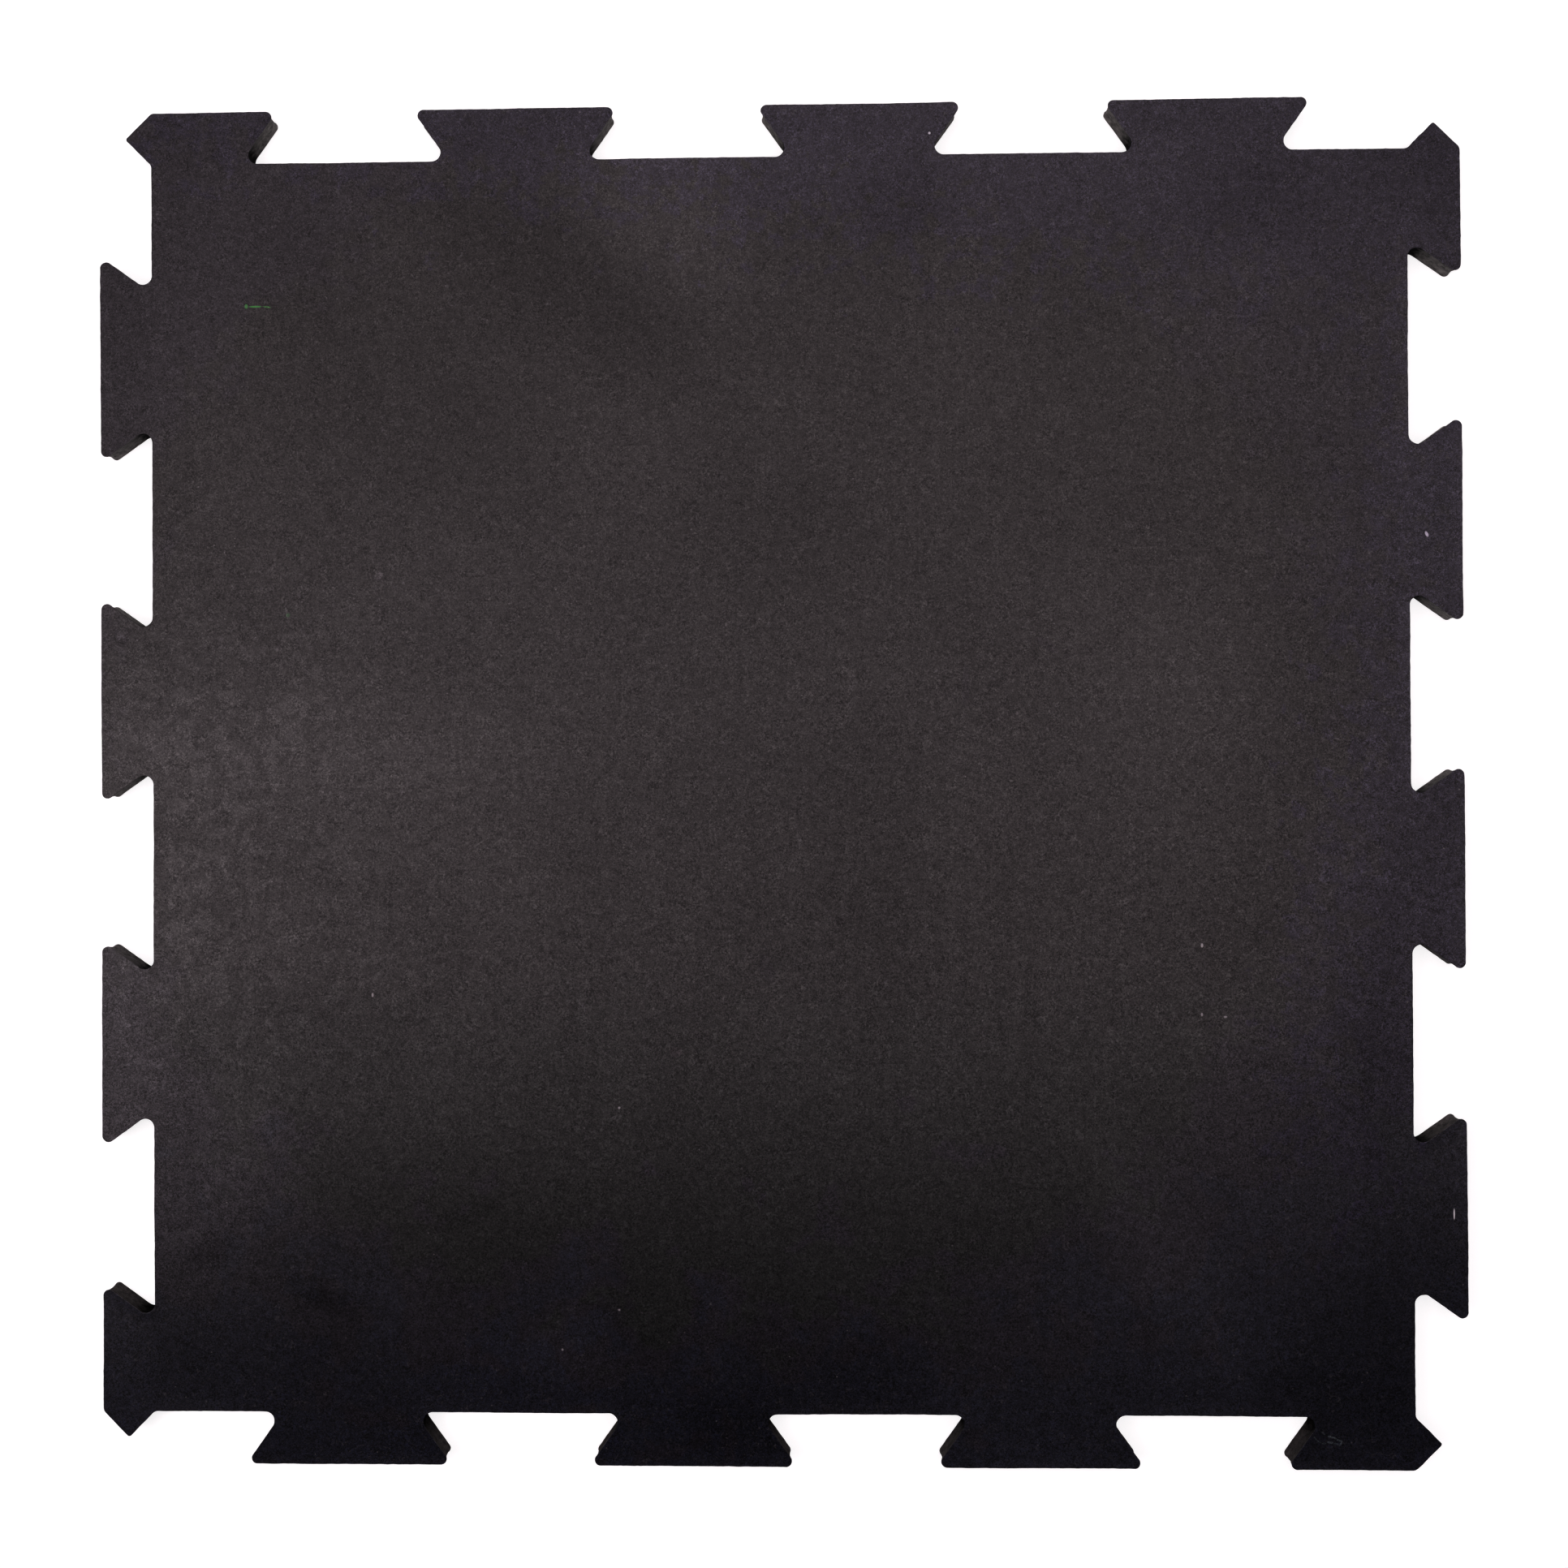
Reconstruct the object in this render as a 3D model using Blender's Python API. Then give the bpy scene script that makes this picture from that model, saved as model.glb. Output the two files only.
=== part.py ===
"""Interlocking floor mat: one square tile cut from black crumb rubber sheet.

The origin is the centre of the mat's underside, on the floor. +Z is up, +X is to
the right and +Y is away from the viewer. Each side has a row of dovetail tabs with
sockets between them. The row turns with the side, a quarter turn at a time, so a
second mat laid one module away fills these sockets with its own tabs.
"""
import math

import bmesh
import bpy
from mathutils import Matrix, Vector

# Driving dimensions, in metres
MODULE = 1.000                # floor that one laid mat covers, each way
THICKNESS = 0.020             # sheet the mat is cut from
TAB_PITCH = 0.264             # centre of one tab to the centre of the next
TABS_PER_SIDE = 4             # the first one is cut short by the corner
TAB_DEPTH = 0.040             # bottom of a socket to the end of a tab
TAB_TIP_WIDTH = 0.159         # widest part of a tab, at its end
FLANK_CLEARANCE = 0.0015      # play along the edge on each side of a laid tab
TAB_RADIUS = 0.0052           # corners at the end of a tab
SOCKET_RADIUS = 0.0059        # corners at the bottom of a socket
ARROW_RADIUS = 0.0060         # shoulder of the corner arrow, and the notch inside the corner
POINT_RADIUS = 0.002          # the arrow-shaped point at each corner of the mat
ARC_STEP = math.radians(18)   # turn between two points of a rounded corner

# Worked out from the driving dimensions
HALF_MODULE = MODULE / 2
TAB_END = HALF_MODULE + TAB_DEPTH / 2
SOCKET_BOTTOM = HALF_MODULE - TAB_DEPTH / 2
HALF_TIP = TAB_TIP_WIDTH / 2
HALF_ROOT = TAB_PITCH / 2 - HALF_TIP - FLANK_CLEARANCE
# A laid mat's tabs have to meet the middles of its neighbour's sockets, which
# sets how far the first tab's centre lies from the corner of the module.
FIRST_TAB_INSET = (MODULE - (TABS_PER_SIDE - 0.5) * TAB_PITCH) / 2

# Black crumb rubber, matt
RUBBER_COLOUR = (0.034, 0.029, 0.031, 1.0)
RUBBER_ROUGHNESS = 0.85


def clear_scene():
    for item in list(bpy.data.objects):
        bpy.data.objects.remove(item, do_unlink=True)


def side_corners():
    """Corners of the +Y side from left to right, each with its rounding radius."""
    corners = [
        (-HALF_MODULE, HALF_MODULE, POINT_RADIUS),
        (-SOCKET_BOTTOM, TAB_END, ARROW_RADIUS),
    ]
    for tab in range(TABS_PER_SIDE):
        centre = -HALF_MODULE + FIRST_TAB_INSET + tab * TAB_PITCH
        if tab > 0:
            corners.append((centre - HALF_ROOT, SOCKET_BOTTOM, SOCKET_RADIUS))
            corners.append((centre - HALF_TIP, TAB_END, TAB_RADIUS))
        corners.append((centre + HALF_TIP, TAB_END, TAB_RADIUS))
        corners.append((centre + HALF_ROOT, SOCKET_BOTTOM, SOCKET_RADIUS))
    corners.append((SOCKET_BOTTOM, SOCKET_BOTTOM, ARROW_RADIUS))
    return corners


def mat_corners():
    """Corners of all four sides, clockwise seen from above."""
    corners = []
    for side in range(4):
        turn = Matrix.Rotation(-side * math.pi / 2, 2)
        for x, y, radius in side_corners():
            corners.append((turn @ Vector((x, y)), radius))
    return corners


def rounded_corner(before, corner, after, radius):
    """Points of the arc that rounds one corner between its two straight edges."""
    edge_in = (before - corner).normalized()
    edge_out = (after - corner).normalized()
    opening = edge_in.angle(edge_out)
    start = corner + edge_in * (radius / math.tan(opening / 2))
    centre = corner + (edge_in + edge_out).normalized() * (radius / math.sin(opening / 2))
    turn = math.pi - opening
    if edge_in.cross(edge_out) > 0:
        turn = -turn
    steps = math.ceil(abs(turn) / ARC_STEP)
    arm = start - centre
    return [centre + Matrix.Rotation(turn * i / steps, 2) @ arm for i in range(steps + 1)]


def mat_outline():
    """The whole outline with its corners rounded."""
    corners = mat_corners()
    points = []
    for i, (corner, radius) in enumerate(corners):
        before = corners[i - 1][0]
        after = corners[(i + 1) % len(corners)][0]
        points.extend(rounded_corner(before, corner, after, radius))
    return points


def rubber_material():
    material = bpy.data.materials.new("black_rubber")
    material.use_nodes = True
    shader = material.node_tree.nodes["Principled BSDF"]
    shader.inputs["Base Color"].default_value = RUBBER_COLOUR
    shader.inputs["Roughness"].default_value = RUBBER_ROUGHNESS
    shader.inputs["Metallic"].default_value = 0.0
    return material


def make_mat():
    """The outline laid on the floor and raised by the thickness of the sheet."""
    shape = bmesh.new()
    vertices = [shape.verts.new((p.x, p.y, 0.0)) for p in mat_outline()]
    underside = shape.faces.new(vertices)
    raised = bmesh.ops.extrude_face_region(shape, geom=[underside], use_keep_orig=True)
    top = [item for item in raised["geom"] if isinstance(item, bmesh.types.BMVert)]
    bmesh.ops.translate(shape, verts=top, vec=(0.0, 0.0, THICKNESS))
    bmesh.ops.recalc_face_normals(shape, faces=shape.faces)

    mesh = bpy.data.meshes.new("rubber_mat")
    shape.to_mesh(mesh)
    shape.free()
    mesh.materials.append(rubber_material())
    mat = bpy.data.objects.new("rubber_mat", mesh)
    bpy.context.scene.collection.objects.link(mat)
    return mat


clear_scene()
make_mat()
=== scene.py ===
"""The looks of a black crumb rubber floor mat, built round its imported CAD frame.

The outline is the CAD's, with a finely uneven edge and the wall that a knife leaves.
All lengths are in metres. +X is to the right, +Y away from the viewer and +Z up.
"""
import math
import random

import bpy
import numpy as np
from mathutils import Matrix, Vector, kdtree, noise
from mathutils.geometry import delaunay_2d_cdt


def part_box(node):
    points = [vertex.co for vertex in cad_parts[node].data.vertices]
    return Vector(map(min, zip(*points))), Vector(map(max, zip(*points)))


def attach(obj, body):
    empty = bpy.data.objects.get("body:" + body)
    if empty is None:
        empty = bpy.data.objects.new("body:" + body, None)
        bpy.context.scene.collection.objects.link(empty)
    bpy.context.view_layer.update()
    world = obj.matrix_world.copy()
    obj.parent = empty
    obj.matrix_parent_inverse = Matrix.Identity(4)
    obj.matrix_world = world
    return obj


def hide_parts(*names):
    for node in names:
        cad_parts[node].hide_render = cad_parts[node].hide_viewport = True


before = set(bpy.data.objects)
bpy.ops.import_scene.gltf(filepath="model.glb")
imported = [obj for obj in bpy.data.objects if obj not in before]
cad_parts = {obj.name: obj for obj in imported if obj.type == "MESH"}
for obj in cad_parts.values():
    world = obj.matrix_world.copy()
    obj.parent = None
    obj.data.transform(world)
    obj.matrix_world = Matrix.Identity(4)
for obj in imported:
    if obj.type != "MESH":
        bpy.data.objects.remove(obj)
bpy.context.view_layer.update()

# The mat's sizes as the CAD has them, but for the roundings of its tabs and sockets
MODULE = 1.000
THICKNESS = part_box("rubber_mat")[1][2]
TAB_PITCH = 0.264
TABS_PER_SIDE = 4
TAB_DEPTH = 0.040
TAB_TIP_WIDTH = 0.159
FLANK_CLEARANCE = 0.0015
TIP_RADIUS = 0.0045           # ends of the tabs
SOCKET_RADIUS = 0.0070        # corners of the sockets
ARROW_RADIUS = 0.0060         # shoulder of the corner arrow, and the notch inside the corner
POINT_RADIUS = 0.0020         # arrow-shaped point at each corner
TAB_END = MODULE / 2 + TAB_DEPTH / 2
SOCKET_BOTTOM = MODULE / 2 - TAB_DEPTH / 2
HALF_TIP = TAB_TIP_WIDTH / 2
HALF_ROOT = TAB_PITCH / 2 - HALF_TIP - FLANK_CLEARANCE
FIRST_TAB_INSET = (MODULE - (TABS_PER_SIDE - 0.5) * TAB_PITCH) / 2

# Mesh density
EDGE_STEP = 0.0022            # along the straight parts of the cut edge
CORNER_STEP = 0.0008          # round its corners
CORNER_PARTS = 4              # at least so many steps round a corner
TOP_STEP = 0.0080             # over the upper face
UNDER_STEP = 0.0120           # over the underside
WALL_ROWS = 8                 # rings between the two rims
RIM_ANGLES = (0, 45, 90)      # rings round a rim, from the wall to the face, in degrees

# Points inside a face: one row close along its rim, then a grid with every other row shifted
ROW_DEPTH = 0.0030            # how far in that row lies
ROW_SKIP = 2                  # one of its points to so many of the rim's
ROW_CLEAR = 0.93              # share of its depth that it keeps from the whole rim
ROW_APART = 0.5               # share of its depth that its points keep from each other
GRID_START = 0.37             # first row of the grid, in steps
GRID_ROWS = 0.87              # rows of the grid, in steps from one to the next
GRID_SHIFT = 0.5              # sideways shift of every other row, in steps
GRID_JITTER = 0.22            # random part of each place, in steps either way
GRID_CLEAR = 0.55             # steps that the grid keeps from the row along the rim
FILL_SEED = 11
INSIDE_ONLY = 1               # Blender's number for triangles inside the rim and nothing else
MERGE_DISTANCE = 1e-7

# The cut wall: rounded a little at both rims, and hollow between them, as a knife
# leaves sheet that was squeezed while it was cut
TOP_ROUND = 0.00025
TOP_ROUND_VARIES = ((0.5, 0.006, 1),)         # share of it, as a layer of noise
TOP_ROUND_ROOM = 1.6          # height kept free for it, as a multiple
UNDER_ROUND = 0.0003
RIM_STRIP = 0.0003            # flat strip inside each rim, so that the faces stay flat to the edge
WALL_HOLLOW = 0.0012          # how far it stands back at half height
WALL_TAPER = 0.0007           # how much smaller the underside is, on each side
RIM_CRUMBS = 0.35             # share of the wall's unevenness that reaches the flat faces

# Unevenness, as layers of noise: amount, size of its features, seed
EDGE_WANDER = ((0.00045, 0.110, 4), (0.00022, 0.028, 5))
WALL_CRUMBS = ((0.00022, 0.0055, 2), (0.00018, 0.0026, 3))
FACE_WAVES = ((0.00016, 0.090, 6), (0.00006, 0.012, 7))
FACE_DROP = 0.00012           # keeps the waves of the upper face below its rim
SEED_SHIFT = (7.31, 3.17, 5.03)               # how far each seed moves the noise

# Painted light and shade of the wall near the corners: how far it reaches, and how steeply it falls
ROOT_REACH, ROOT_FALL = 0.021, 2.0            # painted shade in the inner corners of the sockets
TIP_REACH, TIP_FALL = 0.036, 1.5              # painted light on the corners of the tabs


# ---------------------------------------------------------------- outline
def side_corners():
    """Corners of the +Y side from left to right, each with its rounding radius."""
    half = MODULE / 2
    corners = [(-half, half, POINT_RADIUS), (-SOCKET_BOTTOM, TAB_END, ARROW_RADIUS)]
    for tab in range(TABS_PER_SIDE):
        centre = -half + FIRST_TAB_INSET + tab * TAB_PITCH
        if tab > 0:
            corners.append((centre - HALF_ROOT, SOCKET_BOTTOM, SOCKET_RADIUS))
            corners.append((centre - HALF_TIP, TAB_END, TIP_RADIUS))
        corners.append((centre + HALF_TIP, TAB_END, TIP_RADIUS))
        corners.append((centre + HALF_ROOT, SOCKET_BOTTOM, SOCKET_RADIUS))
    corners.append((SOCKET_BOTTOM, SOCKET_BOTTOM, ARROW_RADIUS))
    return corners


def mat_corners():
    """Corners of all four sides, clockwise seen from above: place, radius, and the
    distance from the middle of the mat, which tells sockets from tab ends."""
    corners = []
    for side in range(4):
        turn = Matrix.Rotation(-side * math.pi / 2, 2)
        corners += [(turn @ Vector((x, y)), radius, y) for x, y, radius in side_corners()]
    return corners


def rounded_corner(before, corner, after, radius):
    """Points of the arc that rounds one corner between its two straight edges."""
    edge_in = (before - corner).normalized()
    edge_out = (after - corner).normalized()
    opening = edge_in.angle(edge_out)
    start = corner + edge_in * (radius / math.tan(opening / 2))
    centre = corner + (edge_in + edge_out).normalized() * (radius / math.sin(opening / 2))
    turn = math.pi - opening
    if edge_in.cross(edge_out) > 0:
        turn = -turn
    steps = max(CORNER_PARTS, round(radius * abs(turn) / CORNER_STEP))
    arm = start - centre
    return [centre + Matrix.Rotation(turn * i / steps, 2) @ arm for i in range(steps + 1)]


def outline():
    """Points along the whole outline, anticlockwise seen from above, closer round its corners."""
    corners = mat_corners()
    arcs = []
    for i, (corner, radius, _) in enumerate(corners):
        before = corners[i - 1][0]
        after = corners[(i + 1) % len(corners)][0]
        arcs.append(rounded_corner(before, corner, after, radius))
    line = []
    for i, arc in enumerate(arcs):
        line += arc
        end, start = arc[-1], arcs[(i + 1) % len(arcs)][0]
        parts = math.ceil((start - end).length / EDGE_STEP)
        line += [end.lerp(start, k / parts) for k in range(1, parts)]
    return np.array([(p.x, p.y) for p in reversed(line)])


def outward(line):
    """Unit vectors square to an anticlockwise line, away from what it encloses."""
    along = np.roll(line, -1, axis=0) - np.roll(line, 1, axis=0)
    square = np.column_stack([along[:, 1], -along[:, 0]])
    return square / np.hypot(*square.T)[:, None]


def on_floor(places):
    """The same places with a height of zero."""
    return np.column_stack([places, np.zeros(len(places))])


def uneven(places, layers):
    """Smooth noise at 3-D places, the sum of its layers."""
    total = np.zeros(len(places))
    for amount, size, seed in layers:
        shift = Vector([seed * step for step in SEED_SHIFT])
        total += amount * np.array([noise.noise(Vector(p) / size + shift) for p in places])
    return total


# ---------------------------------------------------------------- mesh
def wall_profile(line):
    """Rings of the wall from the underside to the upper face: height, distance in from
    the line, and how far it is cut wall, from 0 to 1."""
    count = len(line)
    top_round = TOP_ROUND * (1.0 + uneven(on_floor(line), TOP_ROUND_VARIES))
    rings = [(np.zeros(count), np.full(count, UNDER_ROUND + RIM_STRIP), 0.0)]
    for angle in reversed(RIM_ANGLES):
        rise = 1 - math.sin(math.radians(angle))
        back = 1 - math.cos(math.radians(angle))
        rings.append((np.full(count, UNDER_ROUND * rise), np.full(count, UNDER_ROUND * back),
                      1.0 - angle / 90))
    low, high = UNDER_ROUND, THICKNESS - TOP_ROUND * TOP_ROUND_ROOM
    for share in np.linspace(0.0, 1.0, WALL_ROWS + 2)[1:-1]:
        rings.append((np.full(count, low + (high - low) * share), np.zeros(count), 1.0))
    for angle in RIM_ANGLES:
        rise = 1 - math.sin(math.radians(angle))
        back = 1 - math.cos(math.radians(angle))
        rings.append((THICKNESS - top_round * rise, top_round * back, 1.0 - angle / 90))
    rings.append((np.full(count, THICKNESS), top_round + RIM_STRIP, 0.0))
    return rings


def wall_rings(line, square):
    """(points of each ring, how far each point is cut wall), from the underside up."""
    rings, cuts = [], []
    for height, back, relief in wall_profile(line):
        crumbs = uneven(np.column_stack([line, height]), WALL_CRUMBS)
        share = height / THICKNESS
        hollow = WALL_HOLLOW * 4 * share * (1 - share) + WALL_TAPER * (1 - share)
        out = crumbs * (RIM_CRUMBS + (1 - RIM_CRUMBS) * relief) - back - hollow
        rings.append(np.column_stack([line + square * out[:, None], height]))
        cuts.append(np.full(len(line), relief))
    return rings, cuts


def wall_faces(rings, count):
    """The four-sided faces between rings of so many points each."""
    faces = []
    for row in range(rings - 1):
        low, high = row * count, (row + 1) * count
        for i in range(count):
            j = (i + 1) % count
            faces.append((low + i, low + j, high + j, high + i))
    return faces


def nearness(far, reach, fall):
    """1 close by, falling to 0 at that reach."""
    return np.clip(fall - fall * far / reach, 0.0, 1.0)


def corner_light_shade_along(line):
    """-1 at the inner corners of the sockets, where shade is painted, 1 at the corners of the tabs,
    where light is painted, 0 elsewhere.
    """
    roots, tips = np.zeros(len(line)), np.zeros(len(line))
    for corner, _, distance in mat_corners():
        far = np.hypot(line[:, 0] - corner.x, line[:, 1] - corner.y)
        if distance == SOCKET_BOTTOM:
            roots = np.maximum(roots, nearness(far, ROOT_REACH, ROOT_FALL))
        elif distance == TAB_END:
            tips = np.maximum(tips, nearness(far, TIP_REACH, TIP_FALL))
    return tips - roots


def row_inside(ring, square, tree):
    """Points a little way in from a rim, fewer than the rim has, none too near it."""
    kept = []
    for i in range(0, len(ring), ROW_SKIP):
        p = ring[i] - square[i] * ROW_DEPTH
        if tree.find((p[0], p[1], 0.0))[2] < ROW_DEPTH * ROW_CLEAR:
            continue
        if kept and np.hypot(*(p - kept[-1])) < ROW_DEPTH * ROW_APART:
            continue
        kept.append(p)
    return kept


def fill_points(ring, square, step, rng):
    """Points that fill the face inside a rim, finer beside it."""
    tree = kdtree.KDTree(len(ring))
    for i, p in enumerate(ring):
        tree.insert((p[0], p[1], 0.0), i)
    tree.balance()
    kept = row_inside(ring, square, tree)
    low, high = ring.min(axis=0), ring.max(axis=0)
    ends = np.roll(ring, -1, axis=0)
    y = low[1] + step * GRID_START
    row = 0
    while y < high[1]:
        crossing = (ring[:, 1] > y) != (ends[:, 1] > y)
        a, b = ring[crossing], ends[crossing]
        cuts = np.sort(a[:, 0] + (y - a[:, 1]) / (b[:, 1] - a[:, 1]) * (b[:, 0] - a[:, 0]))
        x = low[0] + step * (GRID_SHIFT if row % 2 else 0.0)
        while x < high[0]:
            if np.searchsorted(cuts, x) % 2:
                px = x + rng.uniform(-GRID_JITTER, GRID_JITTER) * step
                py = y + rng.uniform(-GRID_JITTER, GRID_JITTER) * step
                if tree.find((px, py, 0.0))[2] > ROW_DEPTH + step * GRID_CLEAR:
                    kept.append(np.array((px, py)))
            x += step
        y += step * GRID_ROWS
        row += 1
    return kept


def filled_face(ring, square, step, rng):
    """(points added inside a rim, triangles); the rim's own points come first in these."""
    flat = [Vector(p) for p in ring]
    flat += [Vector(p) for p in fill_points(ring, square, step, rng)]
    rim = list(range(len(ring)))
    _, _, faces, origin, _, _ = delaunay_2d_cdt(flat, [], [rim], INSIDE_ONLY, MERGE_DISTANCE)
    back = [o[0] for o in origin]
    triangles = [tuple(back[i] for i in face) for face in faces]
    return np.array([(p.x, p.y) for p in flat[len(ring):]]), triangles


def renumbered(face, count, rim_start, added_start):
    """A triangle of a filled face, in the numbers that its points have in the whole mesh."""
    return tuple(rim_start + i if i < count else added_start + i - count for i in face)


def mat_mesh():
    """The cut wall, closed by the upper face and the underside."""
    rng = random.Random(FILL_SEED)
    line = outline()
    line = line + outward(line) * uneven(on_floor(line), EDGE_WANDER)[:, None]
    square = outward(line)
    rings, cuts = wall_rings(line, square)
    count = len(line)
    points = [p for ring in rings for p in ring]
    cut = [c for row in cuts for c in row]
    # painted light at the tabs' corners and painted shade in the sockets' corners, on every ring
    corner_light_shade = list(corner_light_shade_along(line)) * len(rings)
    faces = wall_faces(len(rings), count)

    added, triangles = filled_face(rings[-1][:, :2], square, TOP_STEP, rng)
    waves = uneven(on_floor(added), FACE_WAVES) - FACE_DROP
    top_rim, start = (len(rings) - 1) * count, len(points)
    points += [(p[0], p[1], THICKNESS + wave) for p, wave in zip(added, waves)]
    faces += [renumbered(face, count, top_rim, start) for face in triangles]

    added, triangles = filled_face(rings[0][:, :2], square, UNDER_STEP, rng)
    start = len(points)
    points += [(p[0], p[1], 0.0) for p in added]
    faces += [renumbered(reversed(face), count, 0, start) for face in triangles]

    mesh = bpy.data.meshes.new("crumb_rubber_mat")
    mesh.from_pydata([tuple(p) for p in points], [], faces)
    mesh.update()
    mesh.polygons.foreach_set("use_smooth", [True] * len(mesh.polygons))
    for name, values in (("cut", cut), ("corner_light_shade", corner_light_shade)):
        values += [0.0] * (len(points) - len(values))
        attribute = mesh.attributes.new(name, "FLOAT", "POINT")
        attribute.data.foreach_set("value", np.array(values, dtype=np.float32))
    total = sum(len(p.vertices) - 2 for p in mesh.polygons)
    state = "MENDED" if mesh.validate() else "valid"
    print("mat mesh:", len(points), "points", total, "triangles", state)
    return mesh


# ---------------------------------------------------------------- material
def grey(level):
    """A neutral colour, opaque."""
    return (level, level, level, 1.0)


# A name that ends in RANGE, and others where it is said, is a range for Graph.spread:
# low and high of what goes in, then what comes out at each, 0 and 1 if nothing is said.

# Patterns of noise: size of their features, detail, roughness, and distortion if any
STROKES = (0.00122, 2.0, 0.42, 1.3)           # crumbs and the gaps between them
CLUMPS = (0.0060, 2.0, 0.6)
CLOUD = (0.10, 3.0, 0.55)
DRAWN = (1.0, 2.0, 0.5)                       # in units of DRAWN_STEP
CALM = (0.011, 2.0, 0.5)                      # areas of less and more contrast
FLECKS = (0.0032, 1.0, 0.5, 2.0)
SPOTS = (0.016, 3.0, 0.65)
BLOTS = (0.045, 2.0, 0.5)
RAGGED = (0.014, 3.0, 0.65)
DRIFT = (0.060, 2.0, 0.5)
TEARS = (0.0040, 3.0, 0.6)

# Grain of the upper face, with the weight of each pattern beside the strokes
TONE_SIZE, TONE_WEIGHT = 0.0014, 0.10         # single crumbs, each of one tone
CLUMP_WEIGHT, CLOUD_WEIGHT, DRAWN_WEIGHT = 0.26, 0.10, 0.05
DRAWN_STEP = (0.010, 0.300)                   # makes faint lines along Y
SHUT_RANGE, SHUT_POWER = (0.27, 0.74), 1.55   # from a rough gap to a shut, shining crumb
SHUT_MEAN, SHUT_LEVEL = 0.36, 0.34            # what contrast turns about, and what that becomes
FRONT_BACK = (-0.50, 0.45, 1.14, 0.80)        # range: Y, and the contrast there
CALM_RANGE = (0.35, 0.65, 0.66, 1.16)
CRUMB_COLOURS, CRUMB_POWER = (grey(0.0010), grey(0.0215)), 1.2
WORN_RANGE = (0.30, 0.60)                     # strokes that faint marks stay on

# Flecks, and sparse pale specks that are the centres of a few cells
FLECK_RANGE, FLECK_COLOUR = (0.59, 0.80), (0.042, 0.040, 0.045, 1)
SPECK_SIZE, SPECK_RANGE, SPECK_COLOUR = 0.0040, (0.09, 0.19, 1.0, 0.0), (0.085, 0.081, 0.085, 1)
SPECK_CHANCE = (0.95, 0.99)

# Tints of the bloom: warm in the middle, olive towards the front, mauve round them,
# violet along the back and right edges, slate along the front edge
WARM, OLIVE = (1.02, 1.00, 0.95, 1), (0.82, 1.03, 0.93, 1)
MAUVE, VIOLET, SLATE = (1.08, 0.90, 1.60, 1), (1.10, 0.86, 2.80, 1), (0.80, 0.92, 1.95, 1)
BLOT_WEIGHT, BLOT_SPOTS = 1.2, 0.5            # blots, and the spots in them
BLOOM_MIDDLE = (-0.05, 0.04, THICKNESS)
MAUVE_RAGGED = 0.14                           # how far the border of the mauve area wanders
MAUVE_RANGE = (0.60, 0.63)                    # distance from the middle of the bloom
VIOLET_LINE = 0.43                            # Y at the back and X at the right where violet starts
VIOLET_SLOPES = (0.15, -0.12)                 # of those two lines
VIOLET_SPOTS, VIOLET_RANGE = 0.36, (-0.010, 0.014)
OLIVE_SPOTS, OLIVE_RANGE = 0.22, (-0.20, -0.14, 1.0, 0.0)      # Y
SLATE_LINE = 0.44                             # the slate area starts so far in front of the middle
SLATE_RISE = (-0.1, 0.1, 0.42, 0.87)          # range: X, and how strongly it widens to that side
FRINGE_BLOTS, FRINGE_RANGE = 0.45, (-0.060, -0.040)            # mauve border of the slate area
SLATE_BLOTS, SLATE_RANGE = 0.42, (-0.006, 0.012)

# The cut wall: tears, with painted shade in the sockets' corners and painted light at the tabs'
# corners and towards the back
CUT_RANGE = (0.25, 0.75)                      # values of "cut" that lead from face to wall
TEAR_WEIGHT, TEAR_RANGE = 0.75, (0.36, 0.64)
WALL_COLOURS = (0.042, 0.0405, 0.0395, 1), (0.126, 0.122, 0.118, 1)
TIP_PAINTED_LIGHT = (0.0, 1.0, 1.0, 1.6)               # range: corner light and shade, and how much paler the painted light makes the wall there
ROOT_PAINTED_SHADE = (-0.9, -0.1, 0.14, 1.0)           # range: corner light and shade, and how much darker the painted shade makes it there
ROOT_TEARS = 1.2                              # how far the tears break up that darkness
BACK_PAINTED_LIGHT = (-0.5, 0.1, 0.60, 1.35)               # range: Y, and the brightness of the wall there: painted light, paler towards the back

# Reflection, from a gap to a shut crumb
ROUGHNESS, SPECULAR = (0.34, 0.27), (0.30, 0.86)
WALL_ROUGHER = 0.35           # added to the roughness on the wall
UNSHADED_WALL_SHINE = 0.3             # share of the shine that the wall keeps outside the painted shade of the sockets' corners
BUMP_STRENGTH, BUMP_HEIGHT = 0.12, 0.0004

PATCH_DEPTH = 0.01            # how far below the upper face its patches and marks reach
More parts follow.
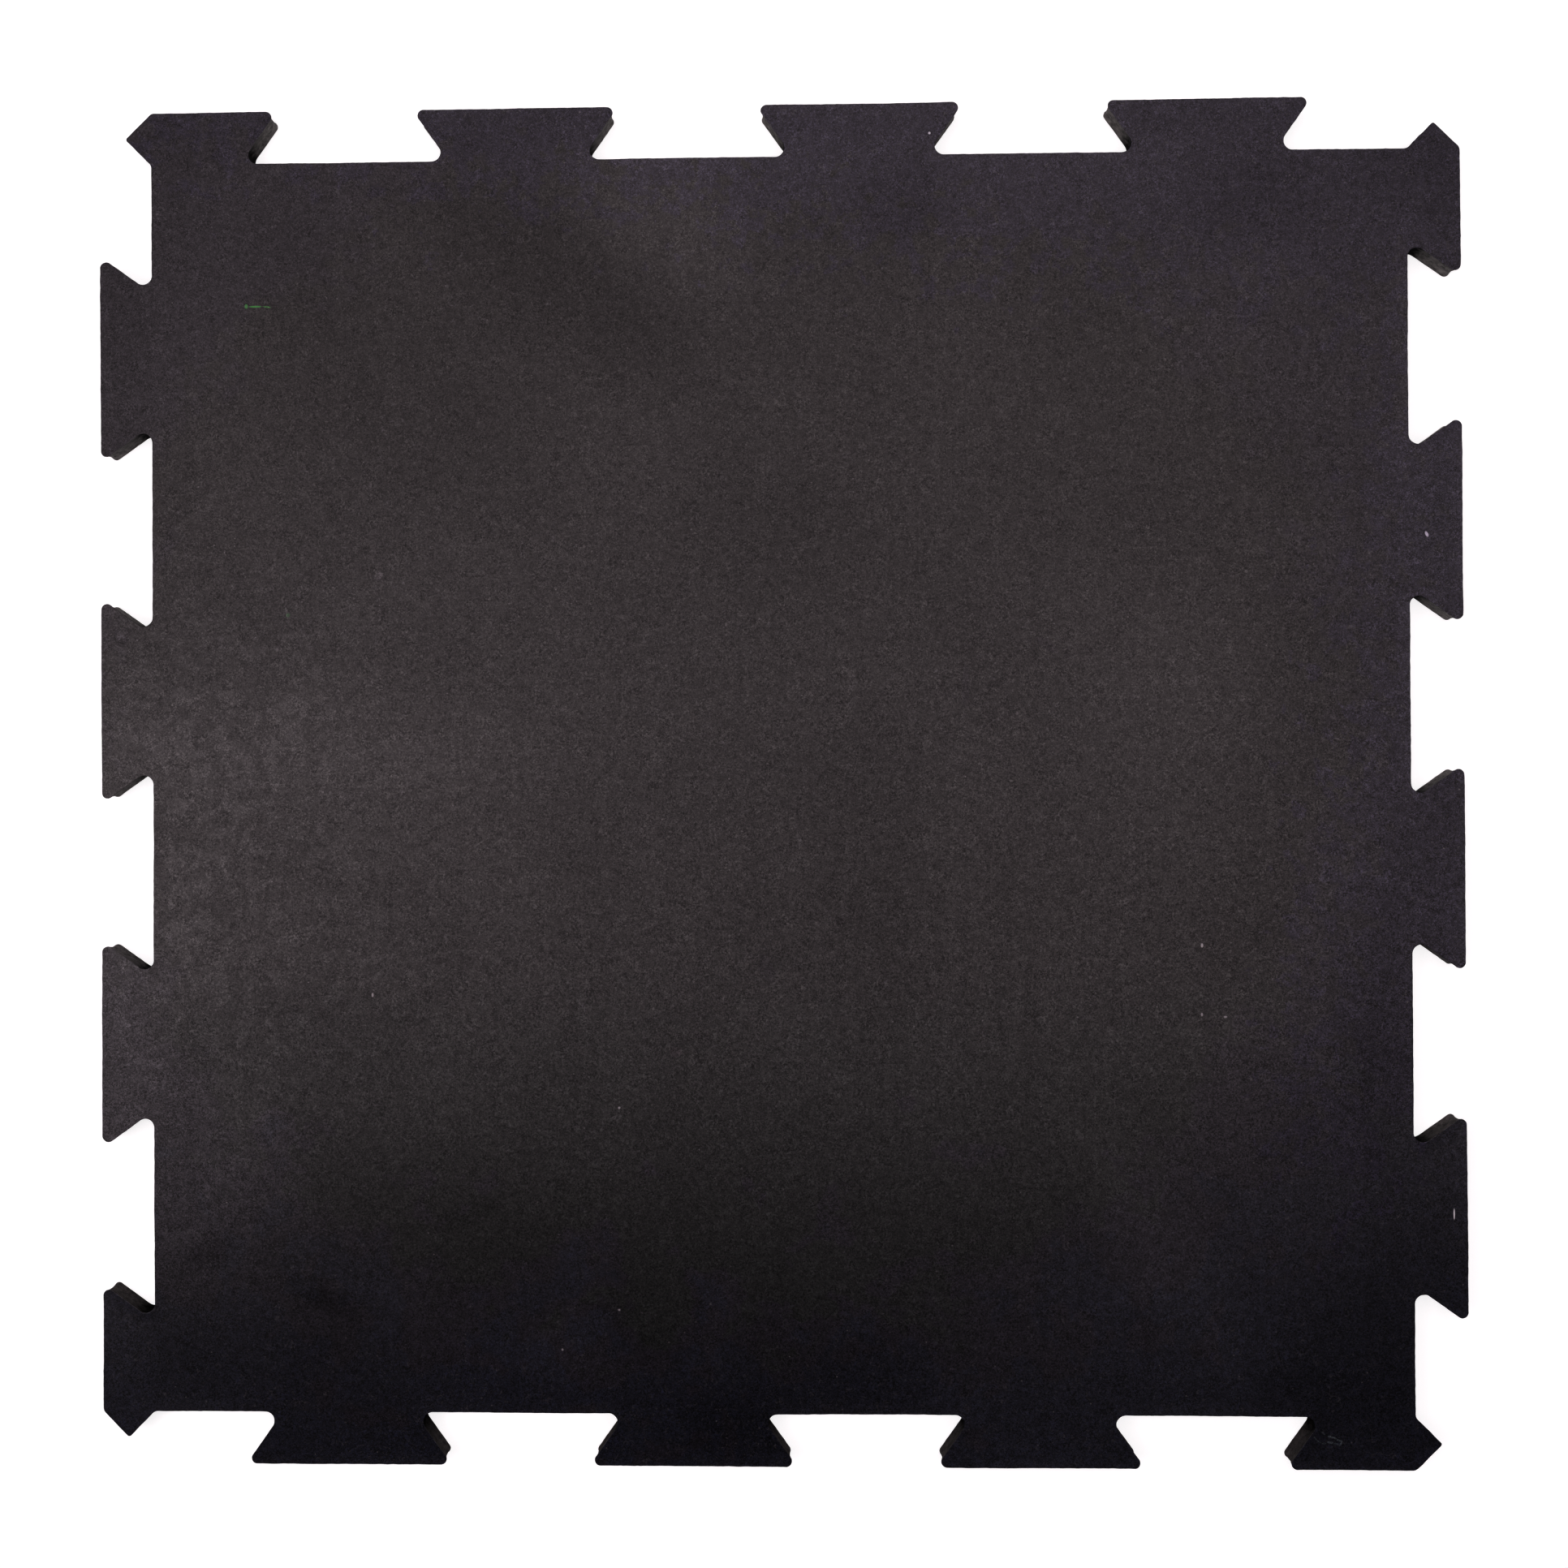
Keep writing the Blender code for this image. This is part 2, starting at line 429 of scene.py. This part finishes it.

# Soft areas of painted sheen and painted shade on the upper face, brighter or darker than the rest
# in colour and in shine:
# x, y, half length, half width, angle in degrees, change in brightness
PAINTED_SHEEN_INNER = 0.15            # share of an area's size where it starts to fade
PAINTED_SHEEN = (
    (-0.162, 0.388, 0.190, 0.080, -34, -0.17),
    (-0.090, 0.440, 0.120, 0.080, -35, 0.24),
    (-0.300, 0.300, 0.220, 0.150, -40, -0.09),
    (0.006, 0.185, 0.110, 0.110, 0, -0.07),
    (0.300, -0.370, 0.170, 0.055, -60, 0.24),
    (0.075, -0.460, 0.080, 0.060, 0, -0.20),
    (0.410, -0.470, 0.090, 0.055, 0, -0.22),
    (0.098, 0.443, 0.055, 0.048, 0, -0.16),
    (-0.380, 0.029, 0.300, 0.085, 0, 0.13),
    (0.283, 0.070, 0.120, 0.150, 0, 0.14),
    (0.080, -0.074, 0.150, 0.160, 0, -0.12),
    (-0.382, -0.204, 0.140, 0.090, 0, -0.12),
    (-0.395, -0.425, 0.130, 0.110, 0, -0.20),
    (-0.162, -0.434, 0.060, 0.045, 0, 0.22),
    (-0.031, -0.488, 0.065, 0.045, 0, -0.20),
    (0.458, -0.173, 0.150, 0.060, 90, -0.14),
    (0.356, 0.443, 0.080, 0.060, 0, -0.12),
    (-0.440, -0.360, 0.035, 0.018, 30, -0.22),
    (-0.345, -0.395, 0.040, 0.016, -25, -0.22),
    (-0.240, -0.330, 0.040, 0.016, 20, -0.15),
    (0.120, 0.500, 0.400, 0.100, 0, 0.13),
    (0.500, 0.250, 0.300, 0.060, 90, 0.12),
    (0.030, -0.430, 0.110, 0.060, 0, -0.10),
    (-0.470, -0.430, 0.060, 0.060, 0, -0.12),
    (0.130, -0.020, 0.170, 0.050, 90, 0.05),
    (-0.300, -0.320, 0.170, 0.100, 0, -0.13),
    (0.470, -0.420, 0.110, 0.130, 0, -0.14),
    (-0.030, -0.480, 0.130, 0.050, 0, -0.10),
    (0.430, -0.230, 0.110, 0.100, 0, -0.06),
)

# Scuffs, specks and stains: x, y, half length, half width, angle in degrees, colour, strength
MARK_INNER = 0.55             # share of a mark's size where it starts to fade
MARKS = (
    (-0.3995, 0.3697, 0.0060, 0.0009, 0, (0.035, 0.220, 0.040, 1), 1.0),
    (-0.4065, 0.3700, 0.0016, 0.0022, 0, (0.035, 0.180, 0.040, 1), 1.0),
    (-0.3905, 0.3694, 0.0040, 0.0008, -8, (0.040, 0.220, 0.040, 1), 0.9),
    (-0.3748, 0.1316, 0.0020, 0.0020, 0, (0.030, 0.120, 0.040, 1), 0.8),
    (-0.3049, 0.1611, 0.0050, 0.0034, 40, (0.060, 0.055, 0.062, 1), 0.8),
    (0.1195, 0.4965, 0.0012, 0.0012, 0, (0.500, 0.500, 0.550, 1), 1.0),
    (0.4930, 0.1871, 0.0028, 0.0014, -65, (0.450, 0.440, 0.520, 1), 1.0),
    (0.5098, -0.3266, 0.0052, 0.0007, 90, (0.600, 0.600, 0.620, 1), 1.0),
    (0.4155, -0.4948, 0.0020, 0.0010, -9, (0.095, 0.118, 0.128, 1), 0.9),
    (0.4193, -0.4958, 0.0030, 0.0009, -17, (0.081, 0.100, 0.109, 1), 0.9),
    (0.4229, -0.4976, 0.0028, 0.0010, -22, (0.095, 0.118, 0.128, 1), 0.9),
    (0.4237, -0.5002, 0.0025, 0.0008, -124, (0.076, 0.094, 0.102, 1), 0.9),
    (0.4159, -0.4992, 0.0030, 0.0012, -8, (0.076, 0.094, 0.102, 1), 0.9),
    (0.4204, -0.5002, 0.0025, 0.0008, -20, (0.057, 0.071, 0.077, 1), 0.9),
    (0.4044, -0.4958, 0.0029, 0.0007, -48, (0.048, 0.059, 0.064, 1), 0.9),
    (0.4076, -0.4988, 0.0025, 0.0007, -35, (0.057, 0.071, 0.077, 1), 0.9),
    (0.4112, -0.4999, 0.0023, 0.0007, 2, (0.057, 0.071, 0.077, 1), 0.9),
    (0.4109, -0.4923, 0.0025, 0.0007, -41, (0.052, 0.065, 0.070, 1), 0.9),
    (0.3221, -0.1237, 0.0012, 0.0020, 0, (0.300, 0.290, 0.300, 1), 1.0),
    (0.3217, -0.1760, 0.0010, 0.0016, 0, (0.220, 0.210, 0.220, 1), 1.0),
    (0.3394, -0.1778, 0.0016, 0.0010, 0, (0.220, 0.210, 0.220, 1), 1.0),
    (-0.1212, -0.2469, 0.0012, 0.0012, 0, (0.220, 0.210, 0.220, 1), 1.0),
    (-0.3105, -0.1605, 0.0010, 0.0020, 0, (0.220, 0.210, 0.220, 1), 1.0),
    (-0.1219, -0.4011, 0.0012, 0.0010, 0, (0.200, 0.190, 0.200, 1), 1.0),
    (-0.1655, -0.4316, 0.0010, 0.0012, 0, (0.200, 0.190, 0.200, 1), 1.0),
    (-0.0775, -0.2047, 0.0060, 0.0050, 0, (0.022, 0.012, 0.018, 1), 0.5),
    (0.1447, 0.0743, 0.0190, 0.0040, 88, (0.004, 0.002, 0.010, 1), 0.6),
    (0.2065, 0.1048, 0.0130, 0.0045, -35, (0.006, 0.003, 0.011, 1), 0.5),
    (-0.0077, -0.1417, 0.0130, 0.0070, -70, (0.004, 0.002, 0.008, 1), 0.6),
    (-0.2837, -0.1848, 0.0030, 0.0030, 0, (0.002, 0.002, 0.002, 1), 0.8),
)


class Graph:
    """Short names for building a node tree."""

    def __init__(self, tree):
        self.tree = tree

    def set(self, socket, value):
        """Links a socket to another one, or gives it a plain value."""
        if isinstance(value, bpy.types.NodeSocket):
            self.tree.links.new(value, socket)
        else:
            socket.default_value = value

    def node(self, kind, inputs=(), **settings):
        made = self.tree.nodes.new(kind)
        for name, value in settings.items():
            setattr(made, name, value)
        for key, value in dict(inputs).items():
            self.set(made.inputs[key], value)
        return made

    def math(self, operation, a, b=0.0, c=0.0, clamp=False):
        inputs = {0: a, 1: b, 2: c}
        made = self.node("ShaderNodeMath", inputs, operation=operation, use_clamp=clamp)
        return made.outputs[0]

    def plus(self, a, b):
        return self.math("ADD", a, b)

    def minus(self, a, b):
        return self.math("SUBTRACT", a, b)

    def times(self, a, b):
        return self.math("MULTIPLY", a, b)

    def scaled(self, a, factor, offset, clamp=False):
        """a times factor, plus offset."""
        return self.math("MULTIPLY_ADD", a, factor, offset, clamp)

    def spread(self, value, low, high, to_low=0.0, to_high=1.0, smooth=False):
        """The value's range low to high laid over another range, and held at its ends."""
        made = self.node("ShaderNodeMapRange", {0: value, 1: low, 2: high, 3: to_low, 4: to_high})
        if smooth:
            made.interpolation_type = "SMOOTHSTEP"
        return made.outputs[0]

    def mix(self, share, a, b, blend="MIX"):
        made = self.node("ShaderNodeMix", data_type="RGBA", blend_type=blend)
        for key, value in (("Factor_Float", share), ("A_Color", a), ("B_Color", b)):
            self.set(next(s for s in made.inputs if s.identifier == key), value)
        return next(s for s in made.outputs if s.identifier == "Result_Color")

    def place(self):
        return self.node("ShaderNodeTexCoord").outputs["Object"]

    def attribute(self, name):
        return self.node("ShaderNodeAttribute", attribute_name=name).outputs["Fac"]

    def separate(self, vector):
        return self.node("ShaderNodeSeparateXYZ", {0: vector}).outputs

    def distance(self, place, other=(0.0, 0.0, 0.0)):
        made = self.node("ShaderNodeVectorMath", {0: place, 1: other}, operation="DISTANCE")
        return made.outputs["Value"]

    def noise(self, place, size, detail, roughness, distortion=0.0):
        inputs = {"Vector": place, "Scale": 1.0 / size, "Detail": detail, "Roughness": roughness,
                  "Distortion": distortion}
        return self.node("ShaderNodeTexNoise", inputs).outputs[0]

    def cells(self, place, size):
        """(distance from the nearest cell's centre, a random number of that cell)"""
        made = self.node("ShaderNodeTexVoronoi", {"Vector": place, "Scale": 1.0 / size})
        chance = self.node("ShaderNodeSeparateColor", {0: made.outputs["Color"]})
        return made.outputs["Distance"], chance.outputs[0]

    def stretched(self, place, along_x, along_y):
        """Places in units of those lengths, for a texture that is longer one way."""
        inputs = {"Vector": place, "Scale": (along_x, along_y, 1.0)}
        return self.node("ShaderNodeMapping", inputs, vector_type="TEXTURE").outputs[0]

    def patch(self, place, x, y, half_long, half_wide, angle, inner):
        """1 inside an ellipse on the upper face, falling softly to 0 at its edge."""
        inputs = {"Vector": place, "Location": (x, y, THICKNESS),
                  "Rotation": (0.0, 0.0, math.radians(angle)),
                  "Scale": (half_long, half_wide, PATCH_DEPTH)}
        made = self.node("ShaderNodeMapping", inputs, vector_type="TEXTURE")
        return self.spread(self.distance(made.outputs[0]), inner, 1.0, 1.0, 0.0, smooth=True)


def crumb_grain(g, place):
    """(strokes, grain, light): the crumbs, with their clumps, and how shut the face is."""
    strokes = g.noise(place, *STROKES)
    drawn = g.noise(g.stretched(place, *DRAWN_STEP), *DRAWN)
    grain = strokes
    for pattern, weight in ((g.cells(place, TONE_SIZE)[1], TONE_WEIGHT),
                            (g.noise(place, *CLUMPS), CLUMP_WEIGHT)):
        grain = g.plus(grain, g.times(g.minus(pattern, 0.5), weight))
    smooth = grain
    for pattern, weight in ((g.noise(place, *CLOUD), CLOUD_WEIGHT), (drawn, DRAWN_WEIGHT)):
        smooth = g.plus(smooth, g.times(g.minus(pattern, 0.5), weight))
    light = g.math("POWER", g.spread(smooth, *SHUT_RANGE), SHUT_POWER)
    contrast = g.times(g.spread(g.separate(place)["Y"], *FRONT_BACK),
                       g.spread(g.noise(place, *CALM), *CALM_RANGE))
    light = g.scaled(g.minus(light, SHUT_MEAN), contrast, SHUT_LEVEL, clamp=True)
    return strokes, grain, light


def bloom_tint(g, place):
    """Tint of the upper face, from its warm middle to its mauve, violet and slate edges."""
    across, upper = g.separate(place)["X"], g.separate(place)["Y"]
    spot = g.minus(g.noise(place, *SPOTS), 0.5)
    blot = g.times(g.minus(g.noise(place, *BLOTS), 0.5), BLOT_WEIGHT)
    blot = g.scaled(spot, BLOT_SPOTS, blot)

    far = g.distance(place, BLOOM_MIDDLE)
    for pattern in (DRIFT, RAGGED):
        far = g.scaled(g.noise(place, *pattern), MAUVE_RAGGED, far)
    widening = g.times(g.times(across, across), g.spread(across, *SLATE_RISE))
    in_front = g.minus(g.minus(widening, upper), SLATE_LINE)
    fringe = g.spread(g.scaled(blot, FRINGE_BLOTS, in_front), *FRINGE_RANGE)
    mauve = g.math("MAXIMUM", g.spread(far, *MAUVE_RANGE), fringe)
    slate = g.spread(g.scaled(blot, SLATE_BLOTS, in_front), *SLATE_RANGE)

    to_back = g.scaled(across, VIOLET_SLOPES[0], g.minus(upper, VIOLET_LINE))
    to_right = g.scaled(upper, VIOLET_SLOPES[1], g.minus(across, VIOLET_LINE))
    border = g.math("MAXIMUM", to_back, to_right)
    violet = g.spread(g.scaled(spot, VIOLET_SPOTS, border), *VIOLET_RANGE)
    olive = g.spread(g.scaled(spot, OLIVE_SPOTS, upper), *OLIVE_RANGE)

    tint = g.mix(olive, WARM, OLIVE)
    for share, colour in ((mauve, MAUVE), (violet, VIOLET), (slate, SLATE)):
        tint = g.mix(share, tint, colour)
    return tint


def upper_face(g, place, strokes, light, painted_sheen):
    """Colour of the flat faces: crumbs, tint, painted sheen and shade, flecks and specks, then the
    marks.
    """
    base = g.mix(g.math("POWER", light, CRUMB_POWER), *CRUMB_COLOURS)
    base = g.mix(1.0, base, bloom_tint(g, place), "MULTIPLY")
    # painted sheen and painted shade multiply the colour
    base = g.mix(1.0, base, painted_sheen, "MULTIPLY")
    base = g.mix(g.spread(g.noise(place, *FLECKS), *FLECK_RANGE), base, FLECK_COLOUR)
    distance, chance = g.cells(place, SPECK_SIZE)
    speck = g.times(g.spread(distance, *SPECK_RANGE), g.spread(chance, *SPECK_CHANCE))
    base = g.mix(speck, base, SPECK_COLOUR)
    worn = g.spread(strokes, *WORN_RANGE)
    for x, y, long, wide, angle, stain, strength in MARKS:
        share = g.times(g.patch(place, x, y, long, wide, angle, MARK_INNER), strength)
        if strength < 1.0:
            share = g.times(share, worn)
        base = g.mix(share, base, stain)
    return base


def cut_wall(g, place, strokes):
    """(colour, shade factor of the sockets' corners): the torn wall, with painted shade in the
    corners of the sockets and painted light at the tabs' corners and towards the back.
    """
    corner_light_shade = g.attribute("corner_light_shade")
    tears = g.scaled(g.noise(place, *TEARS), TEAR_WEIGHT, g.times(strokes, 1.0 - TEAR_WEIGHT))
    wall = g.mix(g.spread(tears, *TEAR_RANGE), *WALL_COLOURS)
    # painted light: the wall paler at the tabs' corners
    pale = g.spread(corner_light_shade, *TIP_PAINTED_LIGHT)
    # painted shade: the wall darker in the sockets' corners, broken up by the tears
    root_shade_factor = g.spread(g.scaled(g.minus(tears, 0.5), ROOT_TEARS, corner_light_shade), *ROOT_PAINTED_SHADE)
    # painted light: the wall paler towards the back
    back_painted_light = g.spread(g.separate(place)["Y"], *BACK_PAINTED_LIGHT)
    return g.mix(1.0, wall, g.times(g.times(pale, root_shade_factor), back_painted_light), "MULTIPLY"), root_shade_factor


def crumb_rubber():
    """The mat's material: worn crumb rubber, and the paler wall where "cut" is 1."""
    material = bpy.data.materials.new("crumb_rubber")
    material.use_nodes = True
    shader = material.node_tree.nodes["Principled BSDF"].inputs
    g = Graph(material.node_tree)
    place = g.place()
    on_wall = g.spread(g.attribute("cut"), *CUT_RANGE)
    # painted sheen and painted shade of the upper face, for its colour and its shine
    painted_sheen = 1.0
    for x, y, long, wide, angle, change in PAINTED_SHEEN:
        painted_sheen = g.scaled(g.patch(place, x, y, long, wide, angle, PAINTED_SHEEN_INNER), change, painted_sheen)
    strokes, grain, light = crumb_grain(g, place)
    wall, root_shade_factor = cut_wall(g, place, strokes)
    g.set(shader["Base Color"], g.mix(on_wall, upper_face(g, place, strokes, light, painted_sheen), wall))

    rough = g.spread(light, 0.0, 1.0, *ROUGHNESS)
    rough = g.math("ADD", rough, g.times(on_wall, WALL_ROUGHER), clamp=True)
    g.set(shader["Roughness"], rough)
    shine = g.times(g.spread(light, 0.0, 1.0, *SPECULAR), painted_sheen)
    # the painted shade of the sockets' corners also dims the wall's shine
    dull = g.times(g.minus(1.0, g.times(root_shade_factor, UNSHADED_WALL_SHINE)), on_wall)
    g.set(shader["Specular IOR Level"], g.times(shine, g.minus(1.0, dull)))
    bump = {"Strength": BUMP_STRENGTH, "Distance": BUMP_HEIGHT, "Height": grain}
    g.set(shader["Normal"], g.node("ShaderNodeBump", bump).outputs[0])
    return material


# ---------------------------------------------------------------- stage
FLOOR_HALF = 12.0
FLOOR_GAP = 0.0002                            # keeps the floor clear of the underside
FLOOR_COLOUR = 0.35
FLOOR_BOUNCE = (-0.40, 0.05, 0.0, 0.35)       # range: Y, and how strongly it lights the walls there
FLOOR_SHOWN = (1.2, 3.0, 0.80, 1.0)           # range: distance, and how bright the camera sees it

# Lights: name, x, y, width, length, power in watts, colour
LIGHT_HEIGHT = 1.92
LIGHTS = (
    ("overhead_softbox", 0.04, 0.425, 3.02, 2.27, 43.5, (1.0, 0.865, 0.900)),
    ("left_softbox", -1.42, -0.27, 0.80, 1.10, 15.3, (1.0, 0.885, 0.93)),
    ("front_card", 0.63, -1.22, 1.00, 0.75, 0.70, (1.0, 0.90, 1.0)),
)

# The room seen in the mat: pale near the horizon, almost black overhead
ROOM_LOW, ROOM_HIGH = (0.30, 0.30, 0.31, 1), (0.012, 0.013, 0.020, 1)
ROOM_RANGE = (0.35, 0.60)                     # height of the view where one turns to the other

# The camera as fitted to the outline in the photo
CAMERA_PLACE = (-0.00705, 0.03252, 1.26001)
CAMERA_TURN = (0.005460, 0.024764, -0.004998)          # radians
CAMERA_SHIFT = (0.03668, -0.03270)
SENSOR_WIDTH, LENS = 36.0, 37.267             # millimetres
GAMMA = 0.75


def plain_floor():
    """A wide pale floor that looks white beside the mat and lights its walls from below."""
    mesh = bpy.data.meshes.new("floor")
    half = FLOOR_HALF
    corners = [(-half, -half, 0), (half, -half, 0), (half, half, 0), (-half, half, 0)]
    mesh.from_pydata(corners, [], [(0, 1, 2, 3)])
    floor = bpy.data.objects.new("floor", mesh)
    floor.location.z = -FLOOR_GAP
    material = bpy.data.materials.new("pale_floor")
    material.use_nodes = True
    shader = material.node_tree.nodes["Principled BSDF"].inputs
    g = Graph(material.node_tree)
    g.set(shader["Base Color"], grey(FLOOR_COLOUR))
    g.set(shader["Roughness"], 1.0)
    g.set(shader["Specular IOR Level"], 0.0)
    g.set(shader["Emission Color"], grey(1.0))
    seen = g.node("ShaderNodeLightPath").outputs["Is Camera Ray"]
    place = g.place()
    bounce = g.spread(g.separate(place)["Y"], *FLOOR_BOUNCE)
    shown = g.spread(g.distance(place), *FLOOR_SHOWN)
    g.set(shader["Emission Strength"], g.scaled(seen, g.minus(shown, bounce), bounce))
    mesh.materials.append(material)
    bpy.context.scene.collection.objects.link(floor)


def soft_light(name, x, y, width, length, power, colour):
    """A rectangular light that shines straight down."""
    data = bpy.data.lights.new(name, "AREA")
    data.shape = "RECTANGLE"
    data.size, data.size_y = width, length
    data.energy = power
    data.color = colour
    light = bpy.data.objects.new(name, data)
    light.location = (x, y, LIGHT_HEIGHT)
    light.rotation_euler = Vector((0.0, 0.0, -1.0)).to_track_quat("-Z", "Y").to_euler()
    bpy.context.scene.collection.objects.link(light)


def studio():
    """The lights, and a room that the camera sees white and the mat reflects."""
    for light in LIGHTS:
        soft_light(*light)
    world = bpy.data.worlds.new("studio")
    world.use_nodes = True
    g = Graph(world.node_tree)
    seen = g.node("ShaderNodeLightPath").outputs["Is Camera Ray"]
    way = g.separate(g.node("ShaderNodeTexCoord").outputs["Generated"])["Z"]
    room = g.mix(g.spread(way, *ROOM_RANGE, smooth=True), ROOM_LOW, ROOM_HIGH)
    back = world.node_tree.nodes["Background"].inputs["Color"]
    g.set(back, g.mix(seen, room, grey(1.0)))
    bpy.context.scene.world = world


def camera():
    """The photo's view of the mat."""
    data = bpy.data.cameras.new("camera")
    data.sensor_width = SENSOR_WIDTH
    data.lens = LENS
    data.shift_x, data.shift_y = CAMERA_SHIFT
    cam = bpy.data.objects.new("camera", data)
    cam.location = CAMERA_PLACE
    cam.rotation_euler = CAMERA_TURN
    bpy.context.scene.collection.objects.link(cam)
    bpy.context.scene.camera = cam


# ---------------------------------------------------------------- the scene
mat = bpy.data.objects.new("crumb_rubber_mat", mat_mesh())
mat.data.materials.append(crumb_rubber())
bpy.context.scene.collection.objects.link(mat)
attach(mat, "root")
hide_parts("rubber_mat")

plain_floor()
studio()
camera()
bpy.context.scene.view_settings.view_transform = "Standard"
bpy.context.scene.view_settings.gamma = GAMMA
